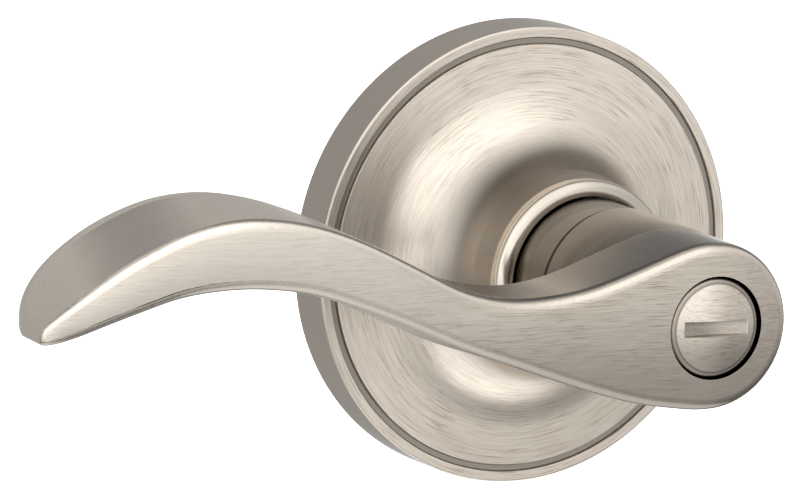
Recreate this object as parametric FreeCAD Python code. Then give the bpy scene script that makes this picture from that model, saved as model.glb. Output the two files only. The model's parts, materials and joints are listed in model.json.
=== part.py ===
import FreeCAD
import Part
import math
import os

# Interior half of a privacy lever set for a door.
# Frame: Y = 0 is the face of the door and +Y goes into it, so the user stands at -Y.
# The origin is on the axis of the door's cross bore, +Z is up, the arm points to -X.
# Every length is in millimetres.

# Rose: the thin turned cover plate with its drawn neck
ROSE_R = 33.0
ROSE_DEPTH = 7.5
ROSE_WALL = 0.8
RIM_ROUND = 0.3
GROOVE_OUT_R = 31.55
GROOVE_IN_R = 30.45
GROOVE_FLOOR_Y = -7.05
GROOVE_SLANT = 0.2
DISC_EDGE_Y = -7.55
DISC_BACK_Y = -6.7
FLARE_R = 11.0
FLARE_START_R = 25.5
FLARE_START_Y = -7.75
NECK_END_R = 13.83
NECK_END_Y = -23.3
BEAD_R = 1.5
BEAD_CENTRE = (12.55, -24.05)
LIP_HOLE_R = 11.9

# Mounting plate against the door, with a boss that fits the 54 mm cross bore
PLATE_R = 31.6
PLATE_T = 2.0
BOSS_R = 26.5
BOSS_WALL = 2.0
BOSS_DEPTH = 4.0
PLATE_HOLE_R = 9.4
SCREW_SPACING = 38.0

# Spring clips that hold the rose on the plate
CLIP_T = 0.6
CLIP_HOOK = 2.5
CLIP_END_Y = -0.4
CLIP_HALF_ANGLE = 6.0

# Through-bolts, which screw into posts of the far side of the door
SCREW_NECK_R = 2.3
SCREW_THREAD_R = 2.5
SCREW_HOLE_R = 2.7
SCREW_HEAD_R = 4.2
SCREW_HEAD_T = 2.6
SCREW_END_Y = 18.0
SCREW_THREAD_Y = 0.5
SCREW_HEAD_ROUND = 1.0
RECESS_REACH = 2.2
RECESS_WIDTH = 1.0
RECESS_DEPTH = 1.3
SCREW_CHAMFER = 0.5

# Spring housing riveted to the plate
HOUSING_OUT_R = 12.9
HOUSING_IN_R = 12.2
HOUSING_FRONT_Y = -22.4
FLANGE_R = 16.8
FLANGE_T = 1.2
RIVET_CIRCLE_R = 15.0
RIVET_R = 0.8
RIVET_HEAD_R = 1.2
STOP_HALF_ANGLE = 14.0
STOP_IN_R = 10.9
STOP_ROOT = 0.3
HEAD_HOLE_GAP = 0.4
RIVET_HEAD_T = 0.7
RIVET_HEAD_ROUND = 0.35

# Return spring, its cover and the neck bearing
SPRING_MEAN_R = 10.6
SPRING_WIRE = 1.5
SPRING_BACK_Y = -5.0
SPRING_LENGTH = 6.2
SPRING_TURNS = 3
COVER_BACK_Y = -11.4
COVER_T = 1.0
COVER_IN_R = 9.4
BEARING_BACK_Y = -12.6
BEARING_IN_R = 10.95

# Drive sleeve and what is fixed on it
SLEEVE_R = 9.0
SLEEVE_BORE_R = 7.4
SLEEVE_FRONT_Y = -49.0
SLEEVE_BACK_Y = 4.0
CAM_FRONT_Y = -4.6
CAM_BACK_Y = -2.6
CAM_R = 10.4
CAM_LOBE_R = 11.8
CAM_LOBE_HALF_ANGLE = 28.0
WASHER_Y = (0.3, 1.5)
WASHER_R = 12.5
CIRCLIP_Y = (1.7, 2.6)
CIRCLIP_R = 10.2
CIRCLIP_GROOVE_R = 8.4
CIRCLIP_OPENING = 4.0
RING_R = 11.6
RING_FRONT_Y = -33.55
RING_CHAMFER = 0.1
RING_SHOULDER_Y = -22.7
RING_SPIGOT_R = 10.9
RING_BACK_Y = -12.8

# Square hollow spindle and its socket
SOCKET_BACK_Y = 3.8
SOCKET_FRONT_Y = -14.0
SPINDLE_SIZE = 7.5
SPINDLE_FRONT_Y = -13.0
SPINDLE_END_Y = 42.0
SPINDLE_BORE_R = 2.1
SPINDLE_CHAMFER = 0.8

# Lever: shank and head on the axis, then the waved arm
SHANK_R = 11.85
SHANK_BACK_Y = -33.9
HEAD_FRONT_Y = -62.3
SHANK_EDGE_ROUND = 0.3
SHANK_BORE_R = 9.05
SHANK_BORE_END_Y = -50.0
SHANK_END_Y = -51.0
BUTTON_HOLE_R = 7.35
ARM_STEP = 4.0
HALF_TURN = 180
# The front face is crowned: this is its slope in degrees along its upper and lower edges
CROWN_SLOPE = 4.0
# The most that an edge may be rounded, as a share of half the arm's height there
MOST_ROUND = 0.65

# Front edges of the arm: height over distance along the arm
UPPER_EDGE = [(0.0, 11.85), (-4.0, 11.45), (-8.5, 10.05), (-13.5, 8.3), (-20.0, 6.35), (-27.0, 5.4),
              (-33.0, 5.45), (-39.0, 6.75), (-45.0, 9.4), (-52.0, 12.85), (-60.0, 16.1), (-68.0, 17.95),
              (-76.0, 18.2), (-84.0, 16.6), (-92.0, 13.2), (-98.0, 9.8), (-102.5, 6.9), (-106.0, 4.7)]
LOWER_EDGE = [(0.0, -11.85), (-5.0, -11.5), (-12.0, -10.3), (-20.0, -8.0), (-30.0, -4.6),
              (-40.0, -1.1), (-48.0, 2.2), (-56.0, 5.15), (-64.0, 7.5), (-72.0, 8.45),
              (-78.0, 8.4), (-84.0, 7.7), (-90.0, 6.1), (-96.0, 4.3), (-101.0, 3.0), (-106.0, 2.4)]
# The arm twists: its back edges stand above (or below) the front ones by this much
UPPER_LIFT = [(0.0, 0.0), (-25.0, 0.0), (-35.0, 0.4), (-50.0, 0.2), (-60.0, 0.5), (-70.0, 2.0),
              (-80.0, 4.0), (-90.0, 5.4), (-98.0, 5.0), (-106.0, 1.8)]
LOWER_LIFT = [(0.0, 0.0), (-25.0, -0.3), (-45.0, -0.9), (-60.0, -0.1), (-80.0, 1.6), (-95.0, 1.8),
              (-106.0, 0.2)]
# Plan of the arm's back, and the radius of its back edges
ARM_BACK = [(0.0, -49.0), (-10.0, -48.4), (-20.0, -49.2), (-28.0, -50.4), (-40.0, -50.0),
            (-60.0, -49.4), (-85.0, -49.0), (-98.0, -49.2), (-101.5, -49.9), (-104.0, -51.7),
            (-106.0, -55.5)]
BACK_ROUND = [(0.0, 0.5), (-22.0, 0.6), (-40.0, 2.0), (-65.0, 2.6), (-95.0, 2.4), (-106.0, 1.6)]
FRONT_ROUND = [(0.0, 1.8), (-95.0, 1.6), (-106.0, 0.8)]
# Radius of the edge around the arm's end, and the angle between its sections in degrees
TIP_ROUND = 1.0
TIP_STEP = 22

# Catch that locks the lever on its sleeve, pressed in from below
CATCH_Y = -36.5
CATCH_R = 1.4
CATCH_HOLE_GAP = 0.3
CATCH_FIT = 0.08
CATCH_CHAMFER = 0.3
CATCH_TIP_Z = -10.5
CATCH_FOOT_Z = (-6.7, -6.0)
CATCH_FOOT_R = 2.4
HOLDER_Z = (-2.9, -2.1)
HOLDER_WIDTH = 4.4

# Push-and-turn button
BUTTON_R = 7.0
BUTTON_BACK_Y = -51.6
BUTTON_EDGE_Y = -61.85
BUTTON_TOP_Y = -62.75
BUTTON_FACE_R = 6.5
BUTTON_WALL = 1.5
BUTTON_CORE_R = 2.8
BUTTON_INSIDE_Y = -59.6
SLOT_R = 22.5
SLOT_HEIGHT = 2.2
SLOT_FLOOR_Y = -61.6
CARRIER_Y = (-51.2, -46.5)
ROD_R = 1.5
ROD_HOLE_R = 1.58
ROD_Y = (-53.0, 46.0)
ROD_CLIP_Y = (-46.4, -45.6)
ROD_CLIP_R = 3.0
ROD_CLIP_GAP = 0.01
SEAT_HOLE_R = 2.0
SEAT_Y = (-40.2, -39.2)

# Springs of the catch and the button
CATCH_SPRING_R = 1.6
CATCH_SPRING_WIRE = 0.4
CATCH_SPRING_TURNS = 3
BUTTON_SPRING_R = 5.2
BUTTON_SPRING_WIRE = 0.7
BUTTON_SPRING_TURNS = 3

# Gap between pieces that are fixed to each other
SMALL = 0.05
AXIS = FreeCAD.Vector(0, 1, 0)
CENTRE = FreeCAD.Vector(0, 0, 0)


def save(name, shape):
    """Write one node as STEP."""
    shape.exportStep(os.path.join("parts", name + ".step"))


def at(radius, y):
    """A point of a turned profile: distance from the axis, place along it."""
    return FreeCAD.Vector(radius, y, 0)


def turned(*moves):
    """Revolve a closed profile about Y. A move is a point, or (mid, end) of an arc."""
    edges = []
    here = start = at(*moves[0])
    for move in moves[1:]:
        if isinstance(move[0], tuple):
            end = at(*move[1])
            edges.append(Part.Arc(here, at(*move[0]), end).toShape())
        else:
            end = at(*move)
            edges.append(Part.makeLine(here, end))
        here = end
    edges.append(Part.makeLine(here, start))
    face = Part.Face(Part.Wire(edges))
    return face.revolve(CENTRE, AXIS, 360)


def rod(radius, y0, y1, x=0.0, z=0.0):
    """A cylinder along Y."""
    return Part.makeCylinder(radius, y1 - y0, FreeCAD.Vector(x, y0, z), AXIS)


def tube(r_out, r_in, y0, y1):
    """A hollow cylinder along Y."""
    return rod(r_out, y0, y1).cut(rod(r_in, y0 - 1, y1 + 1))


def block(x0, x1, y0, y1, z0, z1):
    """A box from its limits."""
    return Part.makeBox(x1 - x0, y1 - y0, z1 - z0, FreeCAD.Vector(x0, y0, z0))


def upright(radius, z0, z1, y):
    """A cylinder along Z."""
    return Part.makeCylinder(radius, z1 - z0, FreeCAD.Vector(0, y, z0), FreeCAD.Vector(0, 0, 1))


def sector(r_out, r_in, y0, y1, middle, half_angle):
    """A slice of a tube, centred on an angle that is counted from +X towards +Z."""
    angles = [math.radians(middle - half_angle), math.radians(middle), math.radians(middle + half_angle)]
    outer = [FreeCAD.Vector(r_out * math.cos(a), y0, r_out * math.sin(a)) for a in angles]
    inner = [FreeCAD.Vector(r_in * math.cos(a), y0, r_in * math.sin(a)) for a in angles]
    wire = Part.Wire([Part.Arc(*outer).toShape(), Part.makeLine(outer[2], inner[2]),
                      Part.Arc(*reversed(inner)).toShape(), Part.makeLine(inner[0], outer[0])])
    return Part.Face(wire).extrude(FreeCAD.Vector(0, y1 - y0, 0))


def edges_at(shape, y):
    """The edges of a shape that lie at one place along Y."""
    return [edge for edge in shape.Edges if abs(edge.CenterOfMass.y - y) < SMALL]


def round_array(shape, angles):
    """Copies of a shape, turned about Y."""
    copies = []
    for angle in angles:
        copy = shape.copy()
        copy.rotate(CENTRE, AXIS, angle)
        copies.append(copy)
    return Part.makeCompound(copies)


def coil(mean_r, wire, turns, axis, low, length):
    """A helical spring of round wire along Y or Z, from its low end."""
    pitch = (length - wire) / turns
    path = Part.Wire(Part.makeLongHelix(pitch, pitch * turns, mean_r))
    section = Part.Wire(Part.makeCircle(wire / 2, FreeCAD.Vector(mean_r, 0, 0), AXIS))
    body = path.makePipeShell([section], True, True)
    body.translate(FreeCAD.Vector(0, 0, wire / 2))
    if axis == "y":
        body.rotate(CENTRE, FreeCAD.Vector(1, 0, 0), -90)
        body.translate(FreeCAD.Vector(0, low, 0))
    else:
        body.translate(FreeCAD.Vector(0, CATCH_Y, low))
    return body


def hermite(table, x):
    """Smooth value at x through the (x, value) points of a table that runs to -X."""
    last = len(table) - 1
    i = 0
    while i < last - 1 and x < table[i + 1][0]:
        i += 1

    def slope(k):
        if k == 0:
            return 0.0
        if k == last:
            return (table[last][1] - table[last - 1][1]) / (table[last][0] - table[last - 1][0])
        return (table[k + 1][1] - table[k - 1][1]) / (table[k + 1][0] - table[k - 1][0])

    (x0, v0), (x1, v1) = table[i], table[i + 1]
    span = x1 - x0
    t = (x - x0) / span
    return ((2 * t ** 3 - 3 * t ** 2 + 1) * v0 + (t ** 3 - 2 * t ** 2 + t) * span * slope(i)
            + (3 * t ** 2 - 2 * t ** 3) * v1 + (t ** 3 - t ** 2) * span * slope(i + 1))


def rounded_section(corners, radii):
    """A closed wire through corners, each rounded with its own radius."""
    edges = []
    arcs = []
    count = len(corners)
    for i, corner in enumerate(corners):
        to_last = (corners[i - 1] - corner).normalize()
        to_next = (corners[(i + 1) % count] - corner).normalize()
        half = to_last.getAngle(to_next) / 2
        reach = radii[i] / math.tan(half)
        middle = (to_last + to_next).normalize() * (radii[i] / math.sin(half) - radii[i])
        arcs.append((corner + to_last * reach, corner + middle, corner + to_next * reach))
    for i, arc in enumerate(arcs):
        edges.append(Part.Arc(*arc).toShape())
        edges.append(Part.makeLine(arc[2], arcs[(i + 1) % count][0]))
    return Part.Wire(edges)


def crown(half, front, edge_round):
    """The crowned front of a section of that half height: where its two sloping lines meet, where its
    corners are, and the radius that rounds the meeting point so that the surface just reaches the front."""
    slope = math.radians(CROWN_SLOPE)
    radius = (half - edge_round) / math.tan(slope)
    peak = front - radius * (1 / math.cos(slope) - 1)
    return peak, peak + half * math.tan(slope), radius


def arm_section(x, inset=0.0):
    """The arm's outline across its length at x, drawn in by the inset."""
    top = hermite(UPPER_EDGE, x) - inset
    bottom = hermite(LOWER_EDGE, x) + inset
    back = hermite(ARM_BACK, x) - inset
    half = (top - bottom) / 2
    front_round = min(hermite(FRONT_ROUND, x), MOST_ROUND * half)
    back_round = hermite(BACK_ROUND, x) * half / (half + inset)
    peak, corner, crown_r = crown(half, HEAD_FRONT_Y + inset, front_round)
    corners = [FreeCAD.Vector(x, corner, top), FreeCAD.Vector(x, peak, (top + bottom) / 2),
               FreeCAD.Vector(x, corner, bottom),
               FreeCAD.Vector(x, back, bottom + hermite(LOWER_LIFT, x)),
               FreeCAD.Vector(x, back, top + hermite(UPPER_LIFT, x))]
    return rounded_section(corners, [front_round, crown_r, front_round, back_round, back_round])


def make_arm():
    """The waved arm, lofted from the head to a tip with a rounded end."""
    tip = UPPER_EDGE[-1][0]
    body_end = tip + TIP_ROUND
    count = round(-body_end / ARM_STEP)
    sections = [arm_section(body_end * i / count) for i in range(count)]
    for degrees in range(0, 90, TIP_STEP):
        angle = math.radians(degrees)
        inset = TIP_ROUND * (1 - math.cos(angle))
        sections.append(arm_section(body_end - TIP_ROUND * math.sin(angle), inset))
    return Part.makeLoft(sections, True, False)


def make_head():
    """The half of the head away from the arm: the arm's first section, turned about the axis."""
    section = Part.Face(arm_section(0.0))
    upper = section.common(block(-1, 1, HEAD_FRONT_Y - 1, SHANK_END_Y, 0, SHANK_R + 1))
    return upper.Faces[0].revolve(CENTRE, AXIS, HALF_TURN)


def make_lever():
    """Shank, head and arm in one casting, bored for the sleeve and the button."""
    edge = SHANK_EDGE_ROUND
    turn_edge = edge * (1 - math.sqrt(0.5))
    shank = turned((0, SHANK_BACK_Y), (SHANK_R - edge, SHANK_BACK_Y),
                   ((SHANK_R - turn_edge, SHANK_BACK_Y - turn_edge), (SHANK_R, SHANK_BACK_Y - edge)),
                   (SHANK_R, SHANK_END_Y), (0, SHANK_END_Y))
    lever = shank.fuse([make_head(), make_arm()])
    lever = lever.cut(rod(SHANK_BORE_R, SHANK_BORE_END_Y, SHANK_BACK_Y + 1))
    lever = lever.cut(rod(BUTTON_HOLE_R, HEAD_FRONT_Y - 1, SHANK_BORE_END_Y + 1))
    lever = lever.cut(upright(CATCH_R + CATCH_HOLE_GAP, -SHANK_R - 1, -SLEEVE_R + 1, CATCH_Y))
    return lever


def make_rose():
    """Thin cover plate: rim, flat ring, groove, disc, flare, neck and beaded lip."""
    turn = RIM_ROUND * (1 - math.sqrt(0.5))
    side = FLARE_R * math.sqrt(0.5)
    bead = BEAD_R * math.sqrt(0.5)
    inner_r = FLARE_R + ROSE_WALL
    inner_side = inner_r * math.sqrt(0.5)
    flare_centre_y = FLARE_START_Y - FLARE_R
    neck_r = FLARE_START_R - FLARE_R
    bead_end_y = BEAD_CENTRE[1] - math.sqrt(BEAD_R ** 2 - (LIP_HOLE_R - BEAD_CENTRE[0]) ** 2)
    return turned((ROSE_R, 0), (ROSE_R, RIM_ROUND - ROSE_DEPTH),
                  ((ROSE_R - turn, turn - ROSE_DEPTH), (ROSE_R - RIM_ROUND, -ROSE_DEPTH)),
                  (GROOVE_OUT_R, -ROSE_DEPTH),
                  (GROOVE_OUT_R - GROOVE_SLANT, GROOVE_FLOOR_Y),
                  (GROOVE_IN_R + GROOVE_SLANT, GROOVE_FLOOR_Y),
                  (GROOVE_IN_R, DISC_EDGE_Y),
                  (FLARE_START_R, FLARE_START_Y),
                  ((FLARE_START_R - side, flare_centre_y + side), (neck_r, flare_centre_y)),
                  (NECK_END_R, NECK_END_Y),
                  ((BEAD_CENTRE[0] + bead, BEAD_CENTRE[1] - bead), (LIP_HOLE_R, bead_end_y)),
                  (LIP_HOLE_R, BEAD_CENTRE[1]),
                  (NECK_END_R - ROSE_WALL, NECK_END_Y),
                  (neck_r - ROSE_WALL, flare_centre_y),
                  ((FLARE_START_R - inner_side, flare_centre_y + inner_side),
                   (FLARE_START_R, FLARE_START_Y + ROSE_WALL)),
                  (ROSE_R - ROSE_WALL, DISC_BACK_Y),
                  (ROSE_R - ROSE_WALL, 0))


def screw_places():
    """The two through-bolts stand left and right of the spindle."""
    return [-SCREW_SPACING / 2, SCREW_SPACING / 2]


def rivet_angles():
    """Four rivets, clear of the through-bolts."""
    return [45, 135, 225, 315]


def make_mounting_plate():
    """Plate with the bore boss, spindle hole, bolt holes and rivet holes."""
    plate = rod(PLATE_R, -PLATE_T, 0).fuse(tube(BOSS_R, BOSS_R - BOSS_WALL, -PLATE_T / 2, BOSS_DEPTH))
    plate = plate.cut(rod(PLATE_HOLE_R, -PLATE_T - 1, 1))
    for x in screw_places():
        plate = plate.cut(rod(SCREW_HOLE_R, -PLATE_T - 1, 1, x))
    hole = rod(RIVET_R, -PLATE_T - 1, 1, RIVET_CIRCLE_R)
    return plate.cut(round_array(hole, rivet_angles()))


def make_screw(x):
    """Pan-head through-bolt: head, plain neck in the plate, thread and cross recess."""
    head_y = -PLATE_T - SCREW_HEAD_T
    head = rod(SCREW_HEAD_R, head_y, -PLATE_T, x)
    head = head.makeFillet(SCREW_HEAD_ROUND, edges_at(head, head_y))
    floor = head_y + RECESS_DEPTH
    half = RECESS_WIDTH / 2
    recess = block(x - RECESS_REACH, x + RECESS_REACH, head_y - 1, floor, -half, half)
    recess = recess.fuse(block(x - half, x + half, head_y - 1, floor, -RECESS_REACH, RECESS_REACH))
    neck = rod(SCREW_NECK_R, -PLATE_T, SCREW_THREAD_Y, x)
    thread = rod(SCREW_THREAD_R, SCREW_THREAD_Y, SCREW_END_Y, x)
    thread = thread.makeChamfer(SCREW_CHAMFER, edges_at(thread, SCREW_END_Y))
    return head.fuse([neck, thread]).cut(recess)


def make_spring_housing():
    """Flanged tube that carries the neck, with two stops for the cam."""
    front = -PLATE_T - FLANGE_T
    housing = tube(HOUSING_OUT_R, HOUSING_IN_R, HOUSING_FRONT_Y, -PLATE_T)
    housing = housing.fuse(tube(FLANGE_R, HOUSING_IN_R, front, -PLATE_T))
    for middle in (90, 270):
        stop = sector(HOUSING_IN_R + STOP_ROOT, STOP_IN_R, CAM_FRONT_Y, -PLATE_T, middle, STOP_HALF_ANGLE)
        housing = housing.fuse(stop)
    for x in screw_places():
        housing = housing.cut(rod(SCREW_HEAD_R + HEAD_HOLE_GAP, front - 1, -PLATE_T + 1, x))
    hole = rod(RIVET_R, front - 1, -PLATE_T + 1, RIVET_CIRCLE_R)
    return housing.cut(round_array(hole, rivet_angles()))


def make_rivets():
    """Rivets through the housing's flange and the plate."""
    front = -PLATE_T - FLANGE_T
    head = rod(RIVET_HEAD_R, front - RIVET_HEAD_T, front, RIVET_CIRCLE_R)
    head = head.makeFillet(RIVET_HEAD_ROUND, edges_at(head, front - RIVET_HEAD_T))
    rivet = head.fuse(rod(RIVET_R, front, 0, RIVET_CIRCLE_R))
    return round_array(rivet, rivet_angles())


def make_rose_clips():
    """Three spring clips on the plate's edge that grip the rose from inside."""
    outer = ROSE_R - ROSE_WALL - SMALL
    front = -PLATE_T - CLIP_T
    grip = sector(outer, PLATE_R + SMALL, front, CLIP_END_Y, 90, CLIP_HALF_ANGLE)
    hook = sector(outer, PLATE_R - CLIP_HOOK, front, -PLATE_T - SMALL, 90, CLIP_HALF_ANGLE)
    return round_array(grip.fuse(hook), [0, 120, 240])


def make_neck_bearing():
    """Nylon bush in the housing that the neck ring turns in."""
    return tube(HOUSING_IN_R - SMALL, BEARING_IN_R, HOUSING_FRONT_Y, BEARING_BACK_Y)


def make_housing_cover():
    """Washer that closes the spring chamber."""
    return tube(HOUSING_IN_R - SMALL, COVER_IN_R, COVER_BACK_Y - COVER_T, COVER_BACK_Y)


def make_drive_sleeve():
    """Steel tube that joins lever, cam and spindle, with the catch hole and circlip groove."""
    sleeve = tube(SLEEVE_R, SLEEVE_BORE_R, SLEEVE_FRONT_Y, SLEEVE_BACK_Y)
    groove = tube(SLEEVE_R + 1, CIRCLIP_GROOVE_R, CIRCLIP_Y[0] - SMALL, CIRCLIP_Y[1] + SMALL)
    return sleeve.cut(groove).cut(upright(CATCH_R + CATCH_FIT, -SLEEVE_R - 1, -SLEEVE_BORE_R + 1, CATCH_Y))


def make_drive_cam():
    """Collar with two lobes that meet the housing's stops."""
    cam = tube(CAM_R, SLEEVE_R + SMALL, CAM_FRONT_Y, CAM_BACK_Y)
    root = (SLEEVE_R + CAM_R) / 2
    for middle in (0, 180):
        lobe = sector(CAM_LOBE_R, root, CAM_FRONT_Y, CAM_BACK_Y, middle, CAM_LOBE_HALF_ANGLE)
        cam = cam.fuse(lobe)
    return cam


def make_neck_ring():
    """Sleeve seen between rose and lever, with a thinner spigot that runs in the bearing."""
    front = RING_FRONT_Y
    edge = RING_CHAMFER
    return turned((SLEEVE_R + SMALL, front), (RING_R - edge, front), (RING_R, front + edge),
                  (RING_R, RING_SHOULDER_Y), (RING_SPIGOT_R, RING_SHOULDER_Y),
                  (RING_SPIGOT_R, RING_BACK_Y), (SLEEVE_R + SMALL, RING_BACK_Y))


def make_circlip():
    """Open ring in the sleeve's groove."""
    ring = tube(CIRCLIP_R, CIRCLIP_GROOVE_R + SMALL, *CIRCLIP_Y)
    half = CIRCLIP_OPENING / 2
    return ring.cut(block(-half, half, CIRCLIP_Y[0] - 1, CIRCLIP_Y[1] + 1, 0, CIRCLIP_R + 1))


def make_spindle_socket():
    """Plug in the sleeve with the square hole for the spindle."""
    half = SPINDLE_SIZE / 2 + SMALL
    socket = rod(SLEEVE_BORE_R - SMALL, SOCKET_FRONT_Y, SOCKET_BACK_Y)
    return socket.cut(block(-half, half, SOCKET_FRONT_Y - 1, SOCKET_BACK_Y + 1, -half, half))


def make_spindle():
    """Hollow square bar through the door, chamfered at its far end."""
    half = SPINDLE_SIZE / 2
    bar = block(-half, half, SPINDLE_FRONT_Y, SPINDLE_END_Y, -half, half)
    bar = bar.makeChamfer(SPINDLE_CHAMFER, edges_at(bar, SPINDLE_END_Y))
    return bar.cut(rod(SPINDLE_BORE_R, SPINDLE_FRONT_Y - 1, SPINDLE_END_Y + 1))


def make_catch_holder():
    """Bridge across the sleeve that the catch spring stands on."""
    reach = math.sqrt((SLEEVE_BORE_R - SMALL) ** 2 - HOLDER_Z[0] ** 2)
    return block(-reach, reach, CATCH_Y - HOLDER_WIDTH / 2, CATCH_Y + HOLDER_WIDTH / 2, *HOLDER_Z)


def make_catch():
    """Round catch with a foot that keeps it inside the sleeve."""
    pin = upright(CATCH_R, CATCH_TIP_Z, CATCH_FOOT_Z[0], CATCH_Y)
    tip = [edge for edge in pin.Edges if abs(edge.CenterOfMass.z - CATCH_TIP_Z) < SMALL]
    pin = pin.makeChamfer(CATCH_CHAMFER, tip)
    return pin.fuse(upright(CATCH_FOOT_R, CATCH_FOOT_Z[0], CATCH_FOOT_Z[1], CATCH_Y))


def make_button_carrier():
    """Slide behind the button, with the hole that the button's rod turns in."""
    return tube(BUTTON_R, ROD_HOLE_R, *CARRIER_Y)


def make_turn_button():
    """Domed round button, hollow behind, with a recessed grip slot."""
    rise = BUTTON_TOP_Y + (BUTTON_EDGE_Y - BUTTON_TOP_Y) / 4
    edge = BUTTON_R - BUTTON_FACE_R
    turn = edge * (1 - math.sqrt(0.5))
    button = turned((0, BUTTON_BACK_Y), (BUTTON_R, BUTTON_BACK_Y), (BUTTON_R, BUTTON_EDGE_Y + edge),
                    ((BUTTON_R - turn, BUTTON_EDGE_Y + turn), (BUTTON_FACE_R, BUTTON_EDGE_Y)),
                    ((BUTTON_FACE_R / 2, rise), (0, BUTTON_TOP_Y)))
    hollow = tube(BUTTON_R - BUTTON_WALL, BUTTON_CORE_R, BUTTON_INSIDE_Y, BUTTON_BACK_Y + 1)
    slot = upright(SLOT_R, -SLOT_HEIGHT / 2, SLOT_HEIGHT / 2, SLOT_FLOOR_Y - SLOT_R)
    rod_hole = rod(ROD_R, ROD_Y[0] - SMALL, BUTTON_BACK_Y + 1)
    return button.cut(hollow).cut(slot).cut(rod_hole)


def make_rod_clip():
    """Clip on the rod, behind the carrier."""
    return tube(ROD_CLIP_R, ROD_R + ROD_CLIP_GAP, *ROD_CLIP_Y)


def make_spring_seat():
    """Washer in the sleeve that the button spring stands on."""
    return tube(SLEEVE_BORE_R - SMALL, SEAT_HOLE_R, *SEAT_Y)


def main():
    os.makedirs("parts", exist_ok=True)
    save("rose", make_rose())
    save("mounting_plate", make_mounting_plate())
    save("mounting_screws", Part.makeCompound([make_screw(x) for x in screw_places()]))
    save("spring_housing", make_spring_housing())
    save("housing_rivets", make_rivets())
    save("housing_cover", make_housing_cover())
    save("neck_bearing", make_neck_bearing())
    save("rose_clips", make_rose_clips())
    save("return_spring", coil(SPRING_MEAN_R, SPRING_WIRE, SPRING_TURNS, "y", SPRING_BACK_Y - SPRING_LENGTH,
                               SPRING_LENGTH))
    save("lever", make_lever())
    save("neck_ring", make_neck_ring())
    save("drive_sleeve", make_drive_sleeve())
    save("drive_cam", make_drive_cam())
    save("thrust_washer", tube(WASHER_R, SLEEVE_R + SMALL, *WASHER_Y))
    save("circlip", make_circlip())
    save("spindle_socket", make_spindle_socket())
    save("spindle", make_spindle())
    save("spring_seat", make_spring_seat())
    save("catch_holder", make_catch_holder())
    save("lever_catch", make_catch())
    save("catch_spring", coil(CATCH_SPRING_R, CATCH_SPRING_WIRE, CATCH_SPRING_TURNS, "z",
                              CATCH_FOOT_Z[1] + SMALL, HOLDER_Z[0] - CATCH_FOOT_Z[1] - 2 * SMALL))
    save("button_carrier", make_button_carrier())
    save("button_spring", coil(BUTTON_SPRING_R, BUTTON_SPRING_WIRE, BUTTON_SPRING_TURNS, "y",
                               CARRIER_Y[1] + SMALL, SEAT_Y[0] - CARRIER_Y[1] - 2 * SMALL))
    save("turn_button", make_turn_button())
    save("button_rod", rod(ROD_R, *ROD_Y))
    save("rod_clip", make_rod_clip())


main()
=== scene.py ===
"""Looks of a door lever handle on a round rose: studio, camera, finishes, threaded screws, and
still copies of the springs."""

import json
import math

import bmesh
import bpy
from mathutils import Matrix, Vector


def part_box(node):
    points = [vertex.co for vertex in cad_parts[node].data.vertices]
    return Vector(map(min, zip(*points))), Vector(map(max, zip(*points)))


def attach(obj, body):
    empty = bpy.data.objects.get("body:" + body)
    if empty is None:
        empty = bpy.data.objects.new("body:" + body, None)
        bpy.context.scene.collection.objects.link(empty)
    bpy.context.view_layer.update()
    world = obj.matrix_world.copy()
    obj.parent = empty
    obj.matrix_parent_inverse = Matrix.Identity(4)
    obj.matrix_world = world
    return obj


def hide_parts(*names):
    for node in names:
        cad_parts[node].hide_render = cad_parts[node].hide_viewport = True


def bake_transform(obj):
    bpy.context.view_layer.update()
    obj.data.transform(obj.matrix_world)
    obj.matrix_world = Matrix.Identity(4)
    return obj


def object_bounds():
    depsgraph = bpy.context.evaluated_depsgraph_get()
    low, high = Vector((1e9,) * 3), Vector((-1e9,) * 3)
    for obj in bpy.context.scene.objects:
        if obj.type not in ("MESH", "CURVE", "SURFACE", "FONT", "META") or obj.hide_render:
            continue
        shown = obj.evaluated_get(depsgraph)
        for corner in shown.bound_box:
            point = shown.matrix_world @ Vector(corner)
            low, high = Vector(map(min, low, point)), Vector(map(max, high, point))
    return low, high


# Camera: where it looks from, what it looks at, and how much it takes in (degrees and metres).
VIEW_AZIMUTH = 29.37
VIEW_ELEVATION = 10.65
VIEW_ROLL = 3.0
VIEW_DISTANCE = 2.0
VIEW_WIDTH = 0.11396
AIM = Vector((-0.0154, 0.0012, 0.0002))
SENSOR_WIDTH = 36.0
CLIP_END = 100.0

# Stage (metres): the floor, and a soft light above the handle.
FLOOR_DROP = 0.16
FLOOR_SIZE = 60.0
FLOOR_WHITE = (0.93, 0.93, 0.93, 1.0)
SOFTBOX_PLACE = (0.1, 0.4, 2.0)
SOFTBOX_TARGET = (0, 0.4, 0)
SOFTBOX_SIZE = (2.0, 2.0)
SOFTBOX_WATTS = 60.0

MM = 0.001
Y_AXIS, Z_AXIS = 1, 2

# Satin nickel as linear colour, and how much of each channel the bottom of a brush stroke keeps.
NICKEL = (0.74, 0.672, 0.592)
STROKE_DARKER = (0.60, 0.57, 0.53)
# How light each brushed part is; the lever is darker than the rose, with a painted highlight towards
# its tip.
ROSE_TINT = 1.13
LEVER_TINT = 0.86
BUTTON_TINT = 1.02
LIT_NICKEL = (0.98, 0.91, 0.82, 1.0)
# Nickel for painted shade, the darker groove, deeper painted shade, and painted shadow in the joint.
SHADED_NICKEL = (0.25, 0.226, 0.198, 1.0)
GROOVE_NICKEL = (0.34, 0.312, 0.272, 1.0)
DEEP_SHADE_NICKEL = (0.10, 0.088, 0.075, 1.0)
JOINT_SHADOW = (0.025, 0.020, 0.016, 1.0)

# Width of the brushed lines on each part (millimetres).
ROSE_LINE = 0.12
LEVER_LINE = 0.11
RING_LINE = 0.22
BUTTON_LINE = 0.13
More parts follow.
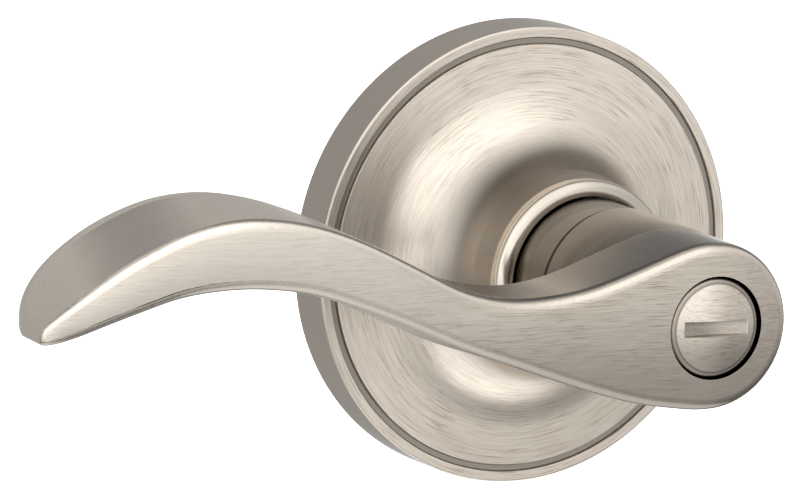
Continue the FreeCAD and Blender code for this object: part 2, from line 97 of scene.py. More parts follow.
# Depth of the brushing on each part (millimetres).
BRUSH_DEPTH = 0.006
BUTTON_DEPTH = 0.005
RING_DEPTH = 0.003

# Zinc plate, bright plate, bare steel, spring wire and nylon: two shades, then stain or wear.
ZINC_BLUE, ZINC_YELLOW = (0.52, 0.55, 0.58, 1.0), (0.60, 0.60, 0.56, 1.0)
ZINC_SPANGLE, ZINC_WORN = (0.44, 0.47, 0.50, 1.0), (0.78, 0.78, 0.77, 1.0)
PLATE_LIGHT, PLATE_DULL = (0.72, 0.72, 0.71, 1.0), (0.52, 0.52, 0.50, 1.0)
PLATE_WORN = (0.88, 0.87, 0.86, 1.0)
STEEL_LIGHT, STEEL_DARK = (0.50, 0.50, 0.51, 1.0), (0.38, 0.38, 0.38, 1.0)
STEEL_STAIN, STEEL_WORN = (0.27, 0.22, 0.18, 1.0), (0.70, 0.70, 0.70, 1.0)
WIRE_DARK, WIRE_LIGHT = (0.15, 0.15, 0.16, 1.0), (0.23, 0.23, 0.24, 1.0)
WIRE_DUST = (0.33, 0.31, 0.29, 1.0)
NYLON_WHITE, NYLON_YELLOW = (0.80, 0.79, 0.74, 1.0), (0.74, 0.71, 0.61, 1.0)
NYLON_WORN = (0.88, 0.87, 0.84, 1.0)

# The rose's face (millimetres): middle of the brushed disc, the groove, and where its rim starts.
DISC_MIDDLE_R = 22.0
GROOVE_R = 31.0
GROOVE_HALF = 0.5
RIM_R = 32.7
# Over how far one zone of a part goes over into the next (millimetres).
EDGE_BLUR = 0.1
# Places along Y where the flare and neck get painted shade and the bead is light again (millimetres).
FLARE_Y = -8.6
NECK_Y = -14.0
ROOT_Y = -16.0
ROOT_END_Y = -18.0
BEAD_Y = -23.0
BEAD_START_Y = -22.4
# Front end of the neck ring, where a painted shadow lies against the lever (millimetres).
RING_JOINT_Y = -33.55
JOINT_WIDTH = 0.35
# Where along X the arm's painted highlight is fullest, where painted shade on the lever starts and is
# full towards its head, and where painted shade is darkest on top, with the start and the full place
# from each side (millimetres).
ARM_LIGHTEST = -75.0
HEAD_SHADE_START = -48.0
HEAD_SHADE_FULL = -24.0
HOLLOW_NEAR = (-20.0, -27.0)
HOLLOW_FAR = (-47.0, -40.0)
# How far the lever's surface turns, as the part of its direction along one axis, from where a
# zone starts to where it is full. Towards -Y is towards the user.
FRONT_TURN = (-0.25, -0.85)
FLAT_FRONT = (-0.90, -0.99)
LINE_OUTSIDE = (-0.28, -0.40)
LINE_INSIDE = (-0.74, -0.58)
OFF_THE_FLAT = (-0.97, -0.90)
EDGE_START = (-0.1, -0.4)
EDGE_END = (-0.88, -0.98)
LEANS_RIGHT = (0.20, -0.02)
LEANS_LEFT = (0.05, -0.30)
FACES_UP = (0.1, 0.5)
FACES_DOWN = (-0.08, -0.25)
# Where along Z painted shade on the head's face starts, and is darkest (millimetres).
HEAD_LOWER = (7.0, -11.5)
# The button's slot and face (millimetres).
SLOT_HALF = 1.1
SLOT_REACH = 5.0
SLOT_SHADOW = 0.9
BUTTON_FACE_R = 6.5
BUTTON_LOWER = 1.5
# Size of soft patches (millimetres).
ROSE_PATCH = 14.0
LEVER_PATCH = 18.0
BRUSH_PATCH = 7.0

# Through-bolts and the thread cut on them (millimetres).
SCREW_R = 2.5
SCREW_ROOT_R = 2.03
SCREW_HEAD_R = 4.2
SCREW_THREAD_START = 0.5
SCREW_THREAD_END = 18.0
THREAD_PITCH = 0.8
THREAD_ROWS = 10
THREAD_STEPS = 48
THREAD_TAPER = 0.8
THREAD_TAPER_SLOPE = 0.8
# The thread's profile: how steep its flanks are, and how much of its foot stays flat.
FLANK_SLOPE = 1.6
FOOT_FLAT = 0.3
WELD = 0.001
SMOOTH_BELOW = 35.0

# Finish of the CAD nodes: by the slot in the record, or by node where one slot has several.
SLOT_FINISH = {
    "satin_nickel": "lever_brushed",
    "satin_nickel_button": "button_brushed",
    "zinc_plated_steel": "zinc_plate",
    "bright_fastener_steel": "bright_fastener",
    "bare_steel": "bare_steel",
    "spring_steel": "spring_wire",
    "nylon": "moulded_nylon",
}
OWN_FINISH = {"rose": "rose_brushed", "neck_ring": "ring_turned"}

# Light from all round: brightness, and where each part starts and is full. That place is the part
# of a direction along X (across), along Y (front) or along Z (low, top, below). The glow's place
# is how close a direction is to its own.
WORLD_COLOUR = (1.0, 0.995, 0.985, 1.0)
WORLD_BACK = 0.45
WORLD_FRONT, WORLD_FRONT_START, WORLD_FRONT_FULL = 1.42, 0.42, 0.02
WORLD_ACROSS, WORLD_ACROSS_START, WORLD_ACROSS_FULL = 0.55, 0.30, 0.68
WORLD_LOW, WORLD_LOW_START, WORLD_LOW_FULL = 0.40, 0.05, -0.50
WORLD_TOP, WORLD_TOP_START, WORLD_TOP_FULL = 0.26, 0.30, 0.65
WORLD_BELOW, WORLD_BELOW_START, WORLD_BELOW_FULL = 1.0, -0.72, -0.84
WORLD_GLOW, WORLD_GLOW_START, WORLD_GLOW_FULL = 0.55, 0.955, 0.995
WORLD_GLOW_TOWARDS = Vector((0.48, 0.86, -0.18)).normalized()


def add_camera():
    """The camera stands to the left of the handle and a little above it, rolled slightly."""
    azimuth, elevation, roll = (math.radians(a) for a in (VIEW_AZIMUTH, VIEW_ELEVATION, VIEW_ROLL))
    back = Vector((
        -math.sin(azimuth) * math.cos(elevation),
        -math.cos(azimuth) * math.cos(elevation),
        math.sin(elevation),
    ))
    right = Vector((math.cos(azimuth), -math.sin(azimuth), 0.0))
    up = back.cross(right)
    rolled_right = math.cos(roll) * right + math.sin(roll) * up
    rolled_up = math.cos(roll) * up - math.sin(roll) * right
    data = bpy.data.cameras.new("camera")
    data.sensor_width = SENSOR_WIDTH
    data.lens = SENSOR_WIDTH * VIEW_DISTANCE / VIEW_WIDTH
    data.clip_end = CLIP_END
    camera = bpy.data.objects.new("camera", data)
    turn = Matrix((rolled_right, rolled_up, back)).transposed().to_4x4()
    camera.matrix_world = Matrix.Translation(AIM + back * VIEW_DISTANCE) @ turn
    bpy.context.scene.collection.objects.link(camera)
    bpy.context.scene.camera = camera


class Nodes:
    """A short way to build a node tree."""

    def __init__(self, tree):
        self.tree = tree
        tree.nodes.clear()

    def add(self, kind, **settings):
        """A new node, with its settings, and its inputs given as name=value under 'inputs'."""
        made = self.tree.nodes.new(kind)
        inputs = settings.pop("inputs", {})
        for name, value in settings.items():
            setattr(made, name, value)
        for name, value in inputs.items():
            if isinstance(value, bpy.types.NodeSocket):
                self.tree.links.new(value, made.inputs[name])
            else:
                made.inputs[name].default_value = value
        return made

    def math(self, operation, *values):
        """The output of a Math node."""
        inputs = dict(enumerate(values))
        return self.add("ShaderNodeMath", operation=operation, inputs=inputs).outputs[0]

    def ramp(self, value, low, high, to_low=0.0, to_high=1.0):
        """value, from low..high, eased to to_low..to_high."""
        return self.add(
            "ShaderNodeMapRange",
            interpolation_type="SMOOTHSTEP",
            inputs={0: value, 1: low, 2: high, 3: to_low, 4: to_high},
        ).outputs[0]

    def mix(self, factor, first, second):
        """first where factor is 0 and second where it is 1, as colours."""
        made = self.add("ShaderNodeMix", data_type="RGBA")
        for socket, value in zip((made.inputs[0], made.inputs[6], made.inputs[7]),
                                 (factor, first, second)):
            if isinstance(value, bpy.types.NodeSocket):
                self.tree.links.new(value, socket)
            else:
                socket.default_value = value
        return made.outputs[2]

    def noise(self, vector, detail=2.0, roughness=0.5):
        """Noise of feature size 1 over a vector."""
        return self.add(
            "ShaderNodeTexNoise",
            inputs={"Vector": vector, "Scale": 1.0, "Detail": detail, "Roughness": roughness},
        ).outputs["Fac"]

    def scaled(self, vector, scale):
        """A vector, each axis multiplied."""
        return self.add(
            "ShaderNodeVectorMath", operation="MULTIPLY", inputs={0: vector, 1: scale}
        ).outputs[0]


def add_world():
    """Soft light from all round: bright in front, more so high up and less so low down and towards
    +X, dim behind but for a glow, and bright from straight below."""
    world = bpy.data.worlds.new("studio")
    bpy.context.scene.world = world
    world.use_nodes = True
    n = Nodes(world.node_tree)
    direction = n.add("ShaderNodeTexCoord").outputs["Generated"]
    apart = n.add("ShaderNodeSeparateXYZ", inputs={0: direction})
    depth, height = apart.outputs["Y"], apart.outputs["Z"]
    front = n.ramp(depth, WORLD_FRONT_START, WORLD_FRONT_FULL)
    low = n.ramp(height, WORLD_LOW_START, WORLD_LOW_FULL, 1.0, WORLD_LOW)
    top = n.ramp(height, WORLD_TOP_START, WORLD_TOP_FULL, 0.0, WORLD_TOP)
    across = n.ramp(apart.outputs["X"], WORLD_ACROSS_START, WORLD_ACROSS_FULL, 1.0, WORLD_ACROSS)
    low = n.math("MULTIPLY", low, across)
    panel = n.math("ADD", n.math("MULTIPLY", low, WORLD_FRONT), n.math("SUBTRACT", top, WORLD_BACK))
    light = n.math("MULTIPLY_ADD", front, panel, WORLD_BACK)
    below = n.ramp(height, WORLD_BELOW_START, WORLD_BELOW_FULL, 0.0, WORLD_BELOW)
    light = n.math("ADD", light, below)
    behind = n.add(
        "ShaderNodeVectorMath", operation="DOT_PRODUCT", inputs={0: direction, 1: WORLD_GLOW_TOWARDS}
    ).outputs["Value"]
    light = n.math("ADD", light, n.ramp(behind, WORLD_GLOW_START, WORLD_GLOW_FULL, 0.0, WORLD_GLOW))
    background = n.add("ShaderNodeBackground", inputs={"Color": WORLD_COLOUR, "Strength": light})
    n.add("ShaderNodeOutputWorld", inputs={"Surface": background.outputs[0]})


def add_softbox():
    """A rectangular soft light above the handle, which doesn't show in its metal."""
    data = bpy.data.lights.new("overhead", "AREA")
    data.shape = "RECTANGLE"
    data.size, data.size_y = SOFTBOX_SIZE
    data.energy = SOFTBOX_WATTS
    lamp = bpy.data.objects.new("overhead", data)
    lamp.location = SOFTBOX_PLACE
    facing_away = Vector(SOFTBOX_PLACE) - Vector(SOFTBOX_TARGET)
    lamp.rotation_euler = facing_away.to_track_quat("Z", "Y").to_euler()
    lamp.visible_glossy = False
    bpy.context.scene.collection.objects.link(lamp)


def add_floor():
    """A plain white floor well below the handle."""
    low = cad_low.z - FLOOR_DROP
    half = FLOOR_SIZE / 2
    mesh = bpy.data.meshes.new("floor")
    corners = [(-half, -half, low), (half, -half, low), (half, half, low), (-half, half, low)]
    mesh.from_pydata(corners, [], [(0, 1, 2, 3)])
    floor = bpy.data.objects.new("floor", mesh)
    bpy.context.scene.collection.objects.link(floor)
    material = bpy.data.materials.new("floor_white")
    material.use_nodes = True
    n = Nodes(material.node_tree)
    shader = n.add("ShaderNodeBsdfDiffuse", inputs={"Color": FLOOR_WHITE})
    n.add("ShaderNodeOutputMaterial", inputs={"Surface": shader.outputs[0]})
    mesh.materials.append(material)
    floor.visible_glossy = False


def in_mm(n):
    """The place on a piece, in millimetres of the row frame."""
    return n.scaled(n.add("ShaderNodeTexCoord").outputs["Object"], (1 / MM, 1 / MM, 1 / MM))


def polar(n, place):
    """Distance from the Y axis, place along it, and the direction away from it."""
    along = n.add("ShaderNodeSeparateXYZ", inputs={0: place}).outputs["Y"]
    flat = n.scaled(place, (1.0, 0.0, 1.0))
    radius = n.add("ShaderNodeVectorMath", operation="LENGTH", inputs={0: flat}).outputs["Value"]
    outward = n.add("ShaderNodeVectorMath", operation="NORMALIZE", inputs={0: flat}).outputs[0]
    return radius, along, outward


def along_x(n, place, length, width):
    """Coordinates in which noise becomes lines along X, in millimetres."""
    return n.scaled(place, (1 / length, 1 / width, 1 / width))


def around_y(n, place, length, width):
    """Coordinates in which noise becomes lines around the Y axis, as long as length on the disc."""
    radius, along, outward = polar(n, place)
    across = n.math("DIVIDE", n.math("ADD", radius, along), width)
    turn = n.scaled(outward, (DISC_MIDDLE_R / length, 0.0, DISC_MIDDLE_R / length))
    parts = n.add("ShaderNodeSeparateXYZ", inputs={0: turn}).outputs
    return n.add("ShaderNodeCombineXYZ", inputs={0: parts["X"], 1: across, 2: parts["Z"]}).outputs[0]


def blotches(n, place, size):
    """Broad soft variation of that size in millimetres."""
    return n.noise(n.scaled(place, (1 / size, 1 / size, 1 / size)), detail=3.0, roughness=0.55)


def worn_edge(n, radius):
    """1 along edges sharper than the radius, in millimetres, and 0 elsewhere."""
    rounded = n.add("ShaderNodeBevel", samples=4, inputs={"Radius": radius * MM}).outputs[0]
    flat = n.add("ShaderNodeNewGeometry").outputs["Normal"]
    agree = n.add("ShaderNodeVectorMath", operation="DOT_PRODUCT", inputs={0: rounded, 1: flat})
    return n.ramp(agree.outputs["Value"], 0.98, 0.80)


def finish(name, paint, edge=0.0, brushed_around=None, **fixed):
    """A material. paint(n, place) gives its colour, roughness, height and the height's size in
    millimetres; edge softens the shading of sharp edges; fixed values go on the shader's sockets."""
    material = bpy.data.materials.new(name)
    material.use_nodes = True
    n = Nodes(material.node_tree)
    colour, roughness, height, relief = paint(n, in_mm(n))
    normal = n.add("ShaderNodeBump", inputs={"Distance": relief * MM, "Height": height}).outputs[0]
    if edge:
        bevel = n.add("ShaderNodeBevel", samples=4, inputs={"Radius": edge * MM, "Normal": normal})
        normal = bevel.outputs[0]
    shader = n.add(
        "ShaderNodeBsdfPrincipled",
        inputs={"Base Color": colour, "Roughness": roughness, "Normal": normal, **fixed},
    )
    if brushed_around:
        tangent = n.add("ShaderNodeTangent", direction_type="RADIAL", axis=brushed_around)
        n.tree.links.new(tangent.outputs[0], shader.inputs["Tangent"])
    n.add("ShaderNodeOutputMaterial", inputs={"Surface": shader.outputs[0]})
    return material


def brushed(n, lay, place, width):
    """Brushing laid by lay(n, place, length, width): how dark it is, where 1 is the bottom of a
    stroke, and its height."""
    fine = n.noise(lay(n, place, 5.0, width), detail=2.0, roughness=0.6)
    broad = n.noise(lay(n, place, 16.0, 5.0 * width), detail=2.0, roughness=0.55)
    strokes = n.ramp(n.noise(lay(n, place, 4.0, 1.1 * width), detail=1.0), 0.57, 0.68)
    patches = n.ramp(blotches(n, place, BRUSH_PATCH), 0.38, 0.62, 0.2, 1.0)
    shade = n.math("ADD", n.ramp(fine, 0.42, 0.66, 0.0, 0.40), n.ramp(broad, 0.42, 0.70, 0.0, 0.18))
    return n.math("MULTIPLY_ADD", strokes, patches, shade), fine


def nickel(n, shade, tint=1.0):
    """Satin nickel colour, from clean metal at shade 0 to the bottom of a stroke at 1."""
    light = tuple(tint * c for c in NICKEL) + (1.0,)
    dark = tuple(tint * c * k for c, k in zip(NICKEL, STROKE_DARKER)) + (1.0,)
    return n.mix(shade, light, dark)


def shaded_above(n, colour, along, outward, bead):
    """The rose's colour with painted shade: darker on the upper side of the neck and on top of the
    bead.
    """
    above = n.ramp(n.add("ShaderNodeSeparateXYZ", inputs={0: outward}).outputs["Z"], 0.1, 0.9)
    past_root = n.ramp(along, BEAD_START_Y, ROOT_END_Y, 0.8, 1.0)
    root = n.math("MULTIPLY", n.ramp(along, FLARE_Y, ROOT_Y), past_root)
    root = n.math("MULTIPLY", root, n.math("SUBTRACT", 1.0, bead))
    # Deeper painted shade on the upper side of the neck root.
    colour = n.mix(n.math("MULTIPLY", root, n.math("MULTIPLY", above, 0.95)), colour, DEEP_SHADE_NICKEL)
    # Painted shade on top of the bead.
    return n.mix(n.math("MULTIPLY", n.math("MULTIPLY", bead, above), 0.45), colour, SHADED_NICKEL)


def paint_rose(n, place):
    """Concentric brushing on the disc, a darker groove, painted shade on the flare, neck and rim, a
    polished bead.
    """
    radius, along, outward = polar(n, place)
    rim = n.ramp(radius, RIM_R, RIM_R + 2 * EDGE_BLUR)
    groove_low, groove_high = GROOVE_R - GROOVE_HALF, GROOVE_R + GROOVE_HALF
    inside = n.ramp(radius, groove_low, groove_low + EDGE_BLUR)
    outside = n.ramp(radius, groove_high, groove_high - EDGE_BLUR)
    groove = n.math("MULTIPLY", inside, outside)
    bead = n.ramp(along, BEAD_START_Y, BEAD_Y)
    neck = n.math("MULTIPLY", n.ramp(along, FLARE_Y, NECK_Y), n.math("SUBTRACT", 1.0, bead))
    plain = n.math("MAXIMUM", n.math("MAXIMUM", rim, groove), n.math("MAXIMUM", bead, neck))
    brushing = n.math("MULTIPLY_ADD", plain, -0.75, 1.0)
    shade, fine = brushed(n, around_y, place, ROSE_LINE)
    colour = nickel(n, n.math("MULTIPLY", shade, brushing), ROSE_TINT)
    # Painted shade on the flare and neck.
    colour = n.mix(n.math("MULTIPLY", neck, 0.78), colour, SHADED_NICKEL)
    colour = shaded_above(n, colour, along, outward, bead)
    colour = n.mix(groove, colour, GROOVE_NICKEL)
    # Painted shade on the rim.
    colour = n.mix(n.math("MULTIPLY", rim, 0.42), colour, SHADED_NICKEL)
    patches = n.ramp(blotches(n, place, ROSE_PATCH), 0.3, 0.7, 0.0, 0.04)
    roughness = n.math("ADD", n.ramp(fine, 0.3, 0.7, 0.26, 0.34), patches)
    roughness = n.math("MULTIPLY_ADD", bead, -0.10, roughness)
    return colour, roughness, n.math("MULTIPLY", fine, brushing), BRUSH_DEPTH


def facing(n, axis, start, full, low=0.0, high=1.0):
    """Low to high as the part of the surface direction along one axis goes from start to full."""
    normal = n.add("ShaderNodeTexCoord").outputs["Normal"]
    parts = n.add("ShaderNodeSeparateXYZ", inputs={0: normal}).outputs
    return n.ramp(parts[axis], start, full, low, high)


def facing_front(n, start, full):
    """1 where the surface faces the user, and 0 where it faces up, down or sideways."""
    return facing(n, "Y", start, full)


def shaded_by_head(n, colour, parts, front, near_head):
    """The lever's colour with painted shade, darker on the lower part of the head and on the sides
    near it, and darkest on the sides that lean to -X and in the hollow on top."""
    side = n.math("SUBTRACT", 1.0, front)
    lower = n.math("MULTIPLY", n.ramp(parts["Z"], *HEAD_LOWER, 0.0, 0.55), front)
    upright = n.math("MULTIPLY", side, facing(n, "X", *LEANS_RIGHT, 0.05, 0.88))
    dull_and_shade = n.math("MULTIPLY", near_head, n.math("ADD", upright, lower))
    # Painted shade on the lower head and on the sides near it.
    colour = n.mix(dull_and_shade, colour, SHADED_NICKEL)
    shaded = n.math("MULTIPLY", n.math("MULTIPLY", near_head, side), facing(n, "X", *LEANS_LEFT))
    hollow = n.math("MULTIPLY", n.ramp(parts["X"], *HOLLOW_NEAR), n.ramp(parts["X"], *HOLLOW_FAR))
    hollow = n.math("MULTIPLY", hollow, n.math("MULTIPLY", side, facing(n, "Z", *FACES_UP)))
    shaded = n.math("MAXIMUM", n.math("MULTIPLY", shaded, 0.62), n.math("MULTIPLY", hollow, 0.9))
    # Deeper painted shade on the sides leaning to -X and in the hollow on top.
    return n.mix(shaded, colour, DEEP_SHADE_NICKEL)


def shaded_edges(n, colour, front):
    """The lever's colour with a painted dark reflection in a line along the front's edges, and painted
    shade on the rounding below.
    """
    line = n.math("MULTIPLY", facing_front(n, *LINE_OUTSIDE), facing_front(n, *LINE_INSIDE))
    # Painted dark reflection in a line along the front's edges.
    colour = n.mix(n.math("MULTIPLY", line, 0.8), colour, SHADED_NICKEL)
    below = n.math("MULTIPLY", facing(n, "Z", *FACES_DOWN), facing_front(n, *OFF_THE_FLAT))
    # Painted shade on the rounding below.
    return n.mix(n.math("MULTIPLY", below, n.math("MULTIPLY", front, 0.75)), colour, SHADED_NICKEL)


def paint_lever(n, place):
    """Brushing along the arm's front, with a painted highlight towards its tip. Its other sides are
    smoother, and darker near the head with painted shade.
    """
    parts = n.add("ShaderNodeSeparateXYZ", inputs={0: place}).outputs
    front = facing_front(n, *FRONT_TURN)
    near_head = n.ramp(parts["X"], HEAD_SHADE_START, HEAD_SHADE_FULL)
    shade, fine = brushed(n, along_x, place, LEVER_LINE)
    amount = n.math("MULTIPLY_ADD", facing_front(n, *FLAT_FRONT), 0.90, 0.10)
    colour = nickel(n, n.math("MULTIPLY", shade, amount), LEVER_TINT)
    lit_tip = n.ramp(parts["X"], HEAD_SHADE_FULL, ARM_LIGHTEST)
    # Painted highlight: lighter towards the tip.
    colour = n.mix(n.math("MULTIPLY", lit_tip, 0.5), colour, LIT_NICKEL)
    colour = shaded_by_head(n, colour, parts, front, near_head)
    colour = shaded_edges(n, colour, front)
    patches = n.ramp(blotches(n, place, LEVER_PATCH), 0.3, 0.7, 0.0, 0.03)
    roughness = n.math("ADD", n.ramp(fine, 0.3, 0.7, 0.25, 0.33), patches)
    edge = n.math("SUBTRACT", facing_front(n, *EDGE_START), facing_front(n, *EDGE_END))
    roughness = n.math("MULTIPLY_ADD", edge, -0.13, roughness)
    side_near_head = n.math("MULTIPLY", near_head, n.math("SUBTRACT", 1.0, front))
    roughness = n.math("MULTIPLY_ADD", side_near_head, -0.15, roughness)
    roughness = n.math("MAXIMUM", roughness, 0.11)
    return colour, roughness, n.math("MULTIPLY", fine, amount), BRUSH_DEPTH


def paint_ring(n, place):
    """Metal darkened with painted shade, soft turned lines, and a painted shadow where it meets the
    lever.
    """
    shade, fine = brushed(n, around_y, place, RING_LINE)
    # Painted shade darkens the whole ring.
    colour = n.mix(0.88, nickel(n, n.math("MULTIPLY", shade, 0.6)), DEEP_SHADE_NICKEL)
    along = n.add("ShaderNodeSeparateXYZ", inputs={0: place}).outputs["Y"]
    joint = RING_JOINT_Y + JOINT_WIDTH
    # Painted shadow in the joint against the lever.
    colour = n.mix(n.ramp(along, joint + 2 * EDGE_BLUR, joint), colour, JOINT_SHADOW)
    return colour, n.ramp(fine, 0.3, 0.7, 0.20, 0.28), fine, RING_DEPTH


def paint_button(n, place):
    """Brushing along the slot; painted shade on the rounded edge and its crease, in the slot and on
    the lower half.
    """
    parts = n.add("ShaderNodeSeparateXYZ", inputs={0: place}).outputs
    radius = polar(n, place)[0]
    rim = n.ramp(radius, BUTTON_FACE_R - 0.2, BUTTON_FACE_R)
    crease = n.math("MULTIPLY", n.ramp(radius, BUTTON_FACE_R - 0.45, BUTTON_FACE_R - 0.2),
                    n.ramp(radius, BUTTON_FACE_R + 0.05, BUTTON_FACE_R - 0.1))
    within_height = n.ramp(n.math("ABSOLUTE", parts["Z"]), SLOT_HALF + 0.05, SLOT_HALF - 0.05)
    within_length = n.ramp(n.math("ABSOLUTE", parts["X"]), SLOT_REACH + 0.15, SLOT_REACH - 0.15)
    inside = n.math("MULTIPLY", within_height, within_length)
    under_lip = n.ramp(parts["Z"], SLOT_HALF - SLOT_SHADOW, SLOT_HALF, 0.0, 0.5)
    sill = n.ramp(parts["Z"], 0.25 - SLOT_HALF, 0.05 - SLOT_HALF, 0.0, 0.6)
    slot = n.math("MULTIPLY", inside, n.math("ADD", n.math("ADD", under_lip, sill), 0.38))
    shade, fine = brushed(n, along_x, place, BUTTON_LINE)
    plain = n.math("MULTIPLY_ADD", rim, -0.8, 1.0)
    colour = nickel(n, n.math("MULTIPLY", shade, plain), BUTTON_TINT)
    lower = n.ramp(parts["Z"], BUTTON_LOWER, -BUTTON_FACE_R, 0.0, 0.35)
    shaded_edge = n.math("MAXIMUM", n.math("MULTIPLY", rim, 0.7), crease)
    dull_and_shade = n.math("MAXIMUM", n.math("MAXIMUM", slot, lower), shaded_edge)
    # Painted shade on the rounded edge, crease, slot and lower half.
    colour = n.mix(n.math("MINIMUM", dull_and_shade, 1.0), colour, SHADED_NICKEL)
    return colour, n.ramp(fine, 0.3, 0.7, 0.22, 0.31), n.math("MULTIPLY", fine, plain), BUTTON_DEPTH


def paint_zinc(n, place):
    """Zinc plate: faint spangle, bluish and yellowish patches, rolled surface, worn edges."""
    cells = n.add("ShaderNodeTexVoronoi", feature="SMOOTH_F1",
                  inputs={"Vector": n.scaled(place, (0.7, 0.7, 0.7)), "Scale": 1.0, "Smoothness": 0.4})
    patches = blotches(n, place, 7.0)
    colour = n.mix(n.ramp(patches, 0.35, 0.65), ZINC_BLUE, ZINC_YELLOW)
    value = n.add("ShaderNodeSeparateXYZ", inputs={0: cells.outputs["Color"]}).outputs["X"]
    colour = n.mix(n.math("MULTIPLY", value, 0.35), colour, ZINC_SPANGLE)
    edge = worn_edge(n, 0.25)
    colour = n.mix(n.math("MULTIPLY", edge, 0.7), colour, ZINC_WORN)
    grain = n.noise(n.scaled(place, (3.0, 3.0, 3.0)), detail=4.0, roughness=0.6)
    roughness = n.math("ADD", n.ramp(grain, 0.3, 0.7, 0.34, 0.46), n.math("MULTIPLY", value, 0.08))
    roughness = n.math("MULTIPLY_ADD", edge, -0.12, roughness)
    height = n.math("MULTIPLY_ADD", patches, 1.5, grain)
    return colour, roughness, height, 0.012


def paint_fastener(n, place):
    """Bright plate over turned or rolled marks, with worn edges."""
    grain = n.noise(n.scaled(place, (1.0, 9.0, 1.0)), detail=3.0, roughness=0.6)
    dull_and_shade = n.ramp(blotches(n, place, 2.5), 0.40, 0.68)
    colour = n.mix(n.math("MULTIPLY", dull_and_shade, 0.5), PLATE_LIGHT, PLATE_DULL)
    edge = worn_edge(n, 0.12)
    colour = n.mix(n.math("MULTIPLY", edge, 0.6), colour, PLATE_WORN)
    roughness = n.math("ADD", n.ramp(grain, 0.3, 0.7, 0.20, 0.30), n.math("MULTIPLY", dull_and_shade, 0.10))
    return colour, roughness, grain, 0.004


def paint_steel(n, place):
    """Bare drawn steel under oil: fine lines along Y, grey-brown stains, polished edges."""
    lines = n.noise(n.scaled(place, (5.0, 0.12, 5.0)), detail=3.0, roughness=0.6)
    stains = n.ramp(blotches(n, place, 5.0), 0.45, 0.72)
    colour = n.mix(n.ramp(lines, 0.3, 0.7), STEEL_LIGHT, STEEL_DARK)
    colour = n.mix(n.math("MULTIPLY", stains, 0.45), colour, STEEL_STAIN)
    edge = worn_edge(n, 0.2)
    colour = n.mix(n.math("MULTIPLY", edge, 0.6), colour, STEEL_WORN)
    roughness = n.math("ADD", n.ramp(lines, 0.3, 0.7, 0.26, 0.38), n.math("MULTIPLY", stains, 0.12))
    return colour, roughness, lines, 0.006


def paint_wire(n, place):
    """Dark spring wire with a dusty sheen of oil."""
    grain = n.noise(n.scaled(place, (4.0, 4.0, 4.0)), detail=4.0, roughness=0.6)
    dust = n.ramp(blotches(n, place, 3.0), 0.42, 0.66)
    colour = n.mix(n.ramp(grain, 0.3, 0.7), WIRE_DARK, WIRE_LIGHT)
    colour = n.mix(n.math("MULTIPLY", dust, 0.4), colour, WIRE_DUST)
    roughness = n.math("ADD", n.ramp(grain, 0.3, 0.7, 0.24, 0.36), n.math("MULTIPLY", dust, 0.1))
    return colour, roughness, grain, 0.006


def paint_nylon(n, place):
    """Natural moulded nylon: fine spark-eroded grain and slight yellowing."""
    grain = n.noise(n.scaled(place, (6.0, 6.0, 6.0)), detail=4.0, roughness=0.65)
    yellow = n.ramp(blotches(n, place, 6.0), 0.35, 0.70)
    colour = n.mix(yellow, NYLON_WHITE, NYLON_YELLOW)
    colour = n.mix(n.math("MULTIPLY", worn_edge(n, 0.2), 0.4), colour, NYLON_WORN)
    roughness = n.ramp(grain, 0.3, 0.7, 0.40, 0.56)
    return colour, roughness, grain, 0.02


def make_finishes():
    """One material for each way of finishing, by name."""
    metal = {"Metallic": 1.0}
    satin = {"Metallic": 1.0, "Anisotropic": 0.5}
    return {
        "rose_brushed": finish("rose_brushed", paint_rose, 0.12, "Y", **satin),
        "lever_brushed": finish("lever_brushed", paint_lever, 0.10, "X", **satin),
        "ring_turned": finish("ring_turned", paint_ring, 0.12, "Y", **satin),
        "button_brushed": finish("button_brushed", paint_button, 0.04, "X", **satin),
        "zinc_plate": finish("zinc_plate", paint_zinc, 0.2, **metal),
        "bright_fastener": finish("bright_fastener", paint_fastener, 0.1, **metal),
        "bare_steel": finish("bare_steel", paint_steel, 0.15, **metal),
        "spring_wire": finish("spring_wire", paint_wire, **metal),
        "moulded_nylon": finish("moulded_nylon", paint_nylon, 0.2, **{
            "Subsurface Weight": 0.12, "Subsurface Radius": (0.004, 0.004, 0.003),
            "Subsurface Scale": 0.5, "IOR": 1.53}),
    }


def finish_name(node):
    """Which finish a CAD node takes: its own, or else that of its slot in the record."""
    return OWN_FINISH.get(node) or SLOT_FINISH[slot_of[node]]


def thread_mesh(x):
    """Rolled thread of one screw: a closed sweep whose radius follows the helix."""
    low, high = SCREW_THREAD_START, SCREW_THREAD_END
    rows = math.ceil((high - low) / THREAD_PITCH * THREAD_ROWS)
    mesh = bmesh.new()
    rings = []
    for row in range(rows + 1):
        y = low + (high - low) * row / rows
        limit = SCREW_R - max(0.0, y - (high - THREAD_TAPER)) * THREAD_TAPER_SLOPE
        ring = []
        for step in range(THREAD_STEPS):
            turn = step / THREAD_STEPS
            phase = (y / THREAD_PITCH - turn) % 1.0
            ridge = FLANK_SLOPE * (1.0 - abs(2.0 * phase - 1.0)) - FOOT_FLAT
            ridge = min(1.0, max(0.0, ridge))
            radius = min(limit, SCREW_ROOT_R + (SCREW_R - SCREW_ROOT_R) * ridge)
            angle = 2 * math.pi * turn
            place = Vector((x + radius * math.cos(angle), y, radius * math.sin(angle))) * MM
            ring.append(mesh.verts.new(place))
        rings.append(ring)
    for first, second in zip(rings, rings[1:]):
        for i in range(THREAD_STEPS):
            j = (i + 1) % THREAD_STEPS
            mesh.faces.new((first[i], second[i], second[j], first[j]))
    mesh.faces.new(rings[0])
    mesh.faces.new(list(reversed(rings[-1])))
    return mesh


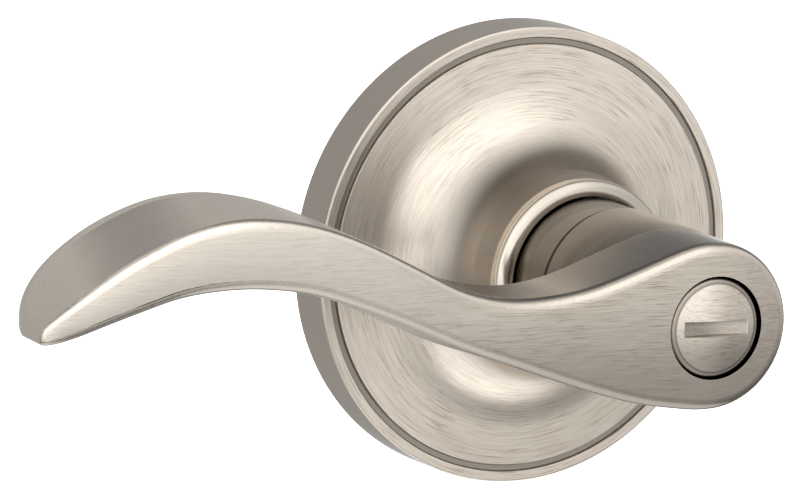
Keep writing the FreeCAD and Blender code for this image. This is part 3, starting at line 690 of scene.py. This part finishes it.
def make_screws(material):
    """The through-bolts with a cut thread: the CAD heads and necks, and a threaded shank each."""
    mesh = bmesh.new()
    mesh.from_mesh(frame["nodes"]["mounting_screws"].data)
    bmesh.ops.remove_doubles(mesh, verts=mesh.verts, dist=WELD * MM)
    plane = Vector((0.0, (SCREW_THREAD_START + WELD) * MM, 0.0))
    everything = list(mesh.verts) + list(mesh.edges) + list(mesh.faces)
    bmesh.ops.bisect_plane(mesh, geom=everything, plane_co=plane, plane_no=(0, 1, 0), clear_outer=True)
    bmesh.ops.holes_fill(mesh, edges=[e for e in mesh.edges if e.is_boundary])
    data = bpy.data.meshes.new("mounting_screws_threaded")
    low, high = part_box("mounting_screws")
    for x in (low[0] / MM + SCREW_HEAD_R, high[0] / MM - SCREW_HEAD_R):
        part = thread_mesh(x)
        part.to_mesh(data)
        part.free()
        mesh.from_mesh(data)
    bmesh.ops.recalc_face_normals(mesh, faces=mesh.faces)
    mesh.to_mesh(data)
    mesh.free()
    data.materials.clear()
    data.materials.append(material)
    for polygon in data.polygons:
        polygon.use_smooth = True
        polygon.material_index = 0
    data.set_sharp_from_angle(angle=math.radians(SMOOTH_BELOW))
    screws = bpy.data.objects.new("mounting_screws_threaded", data)
    bpy.context.scene.collection.objects.link(screws)
    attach(screws, "rose_assembly")
    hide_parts("mounting_screws")


def make_spring(node, axis):
    """A still copy of a CAD spring in place of the hidden node; its ends along the axis are
    worked out but not used."""
    model = frame["nodes"][node]
    spring = bpy.data.objects.new(node + "_squeezed", model.data.copy())
    spring.matrix_world = model.matrix_world
    bpy.context.scene.collection.objects.link(spring)
    low, high = (Vector(corner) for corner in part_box(node))
    start = (low + high) / 2
    end = start.copy()
    start[axis], end[axis] = low[axis], high[axis]
    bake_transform(spring)
    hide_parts(node)


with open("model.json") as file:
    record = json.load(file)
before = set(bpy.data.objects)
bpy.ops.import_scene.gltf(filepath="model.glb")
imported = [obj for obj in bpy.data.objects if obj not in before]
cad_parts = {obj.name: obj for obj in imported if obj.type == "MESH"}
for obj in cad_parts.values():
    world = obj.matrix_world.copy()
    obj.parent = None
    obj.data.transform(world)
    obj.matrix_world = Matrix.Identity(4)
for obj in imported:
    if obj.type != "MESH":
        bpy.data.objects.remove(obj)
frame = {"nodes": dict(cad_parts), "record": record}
cad_low, cad_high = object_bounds()

scene = bpy.context.scene
scene.view_settings.view_transform = "Standard"

add_camera()
add_world()
add_softbox()
add_floor()

slot_of = {part["node"]: part["material_slot"] for part in frame["record"]["subparts"]}
finishes = make_finishes()
for name, node in frame["nodes"].items():
    node.data.materials.clear()
    node.data.materials.append(finishes[finish_name(name)])
make_screws(finishes["bright_fastener"])
make_spring("button_spring", Y_AXIS)
make_spring("catch_spring", Z_AXIS)
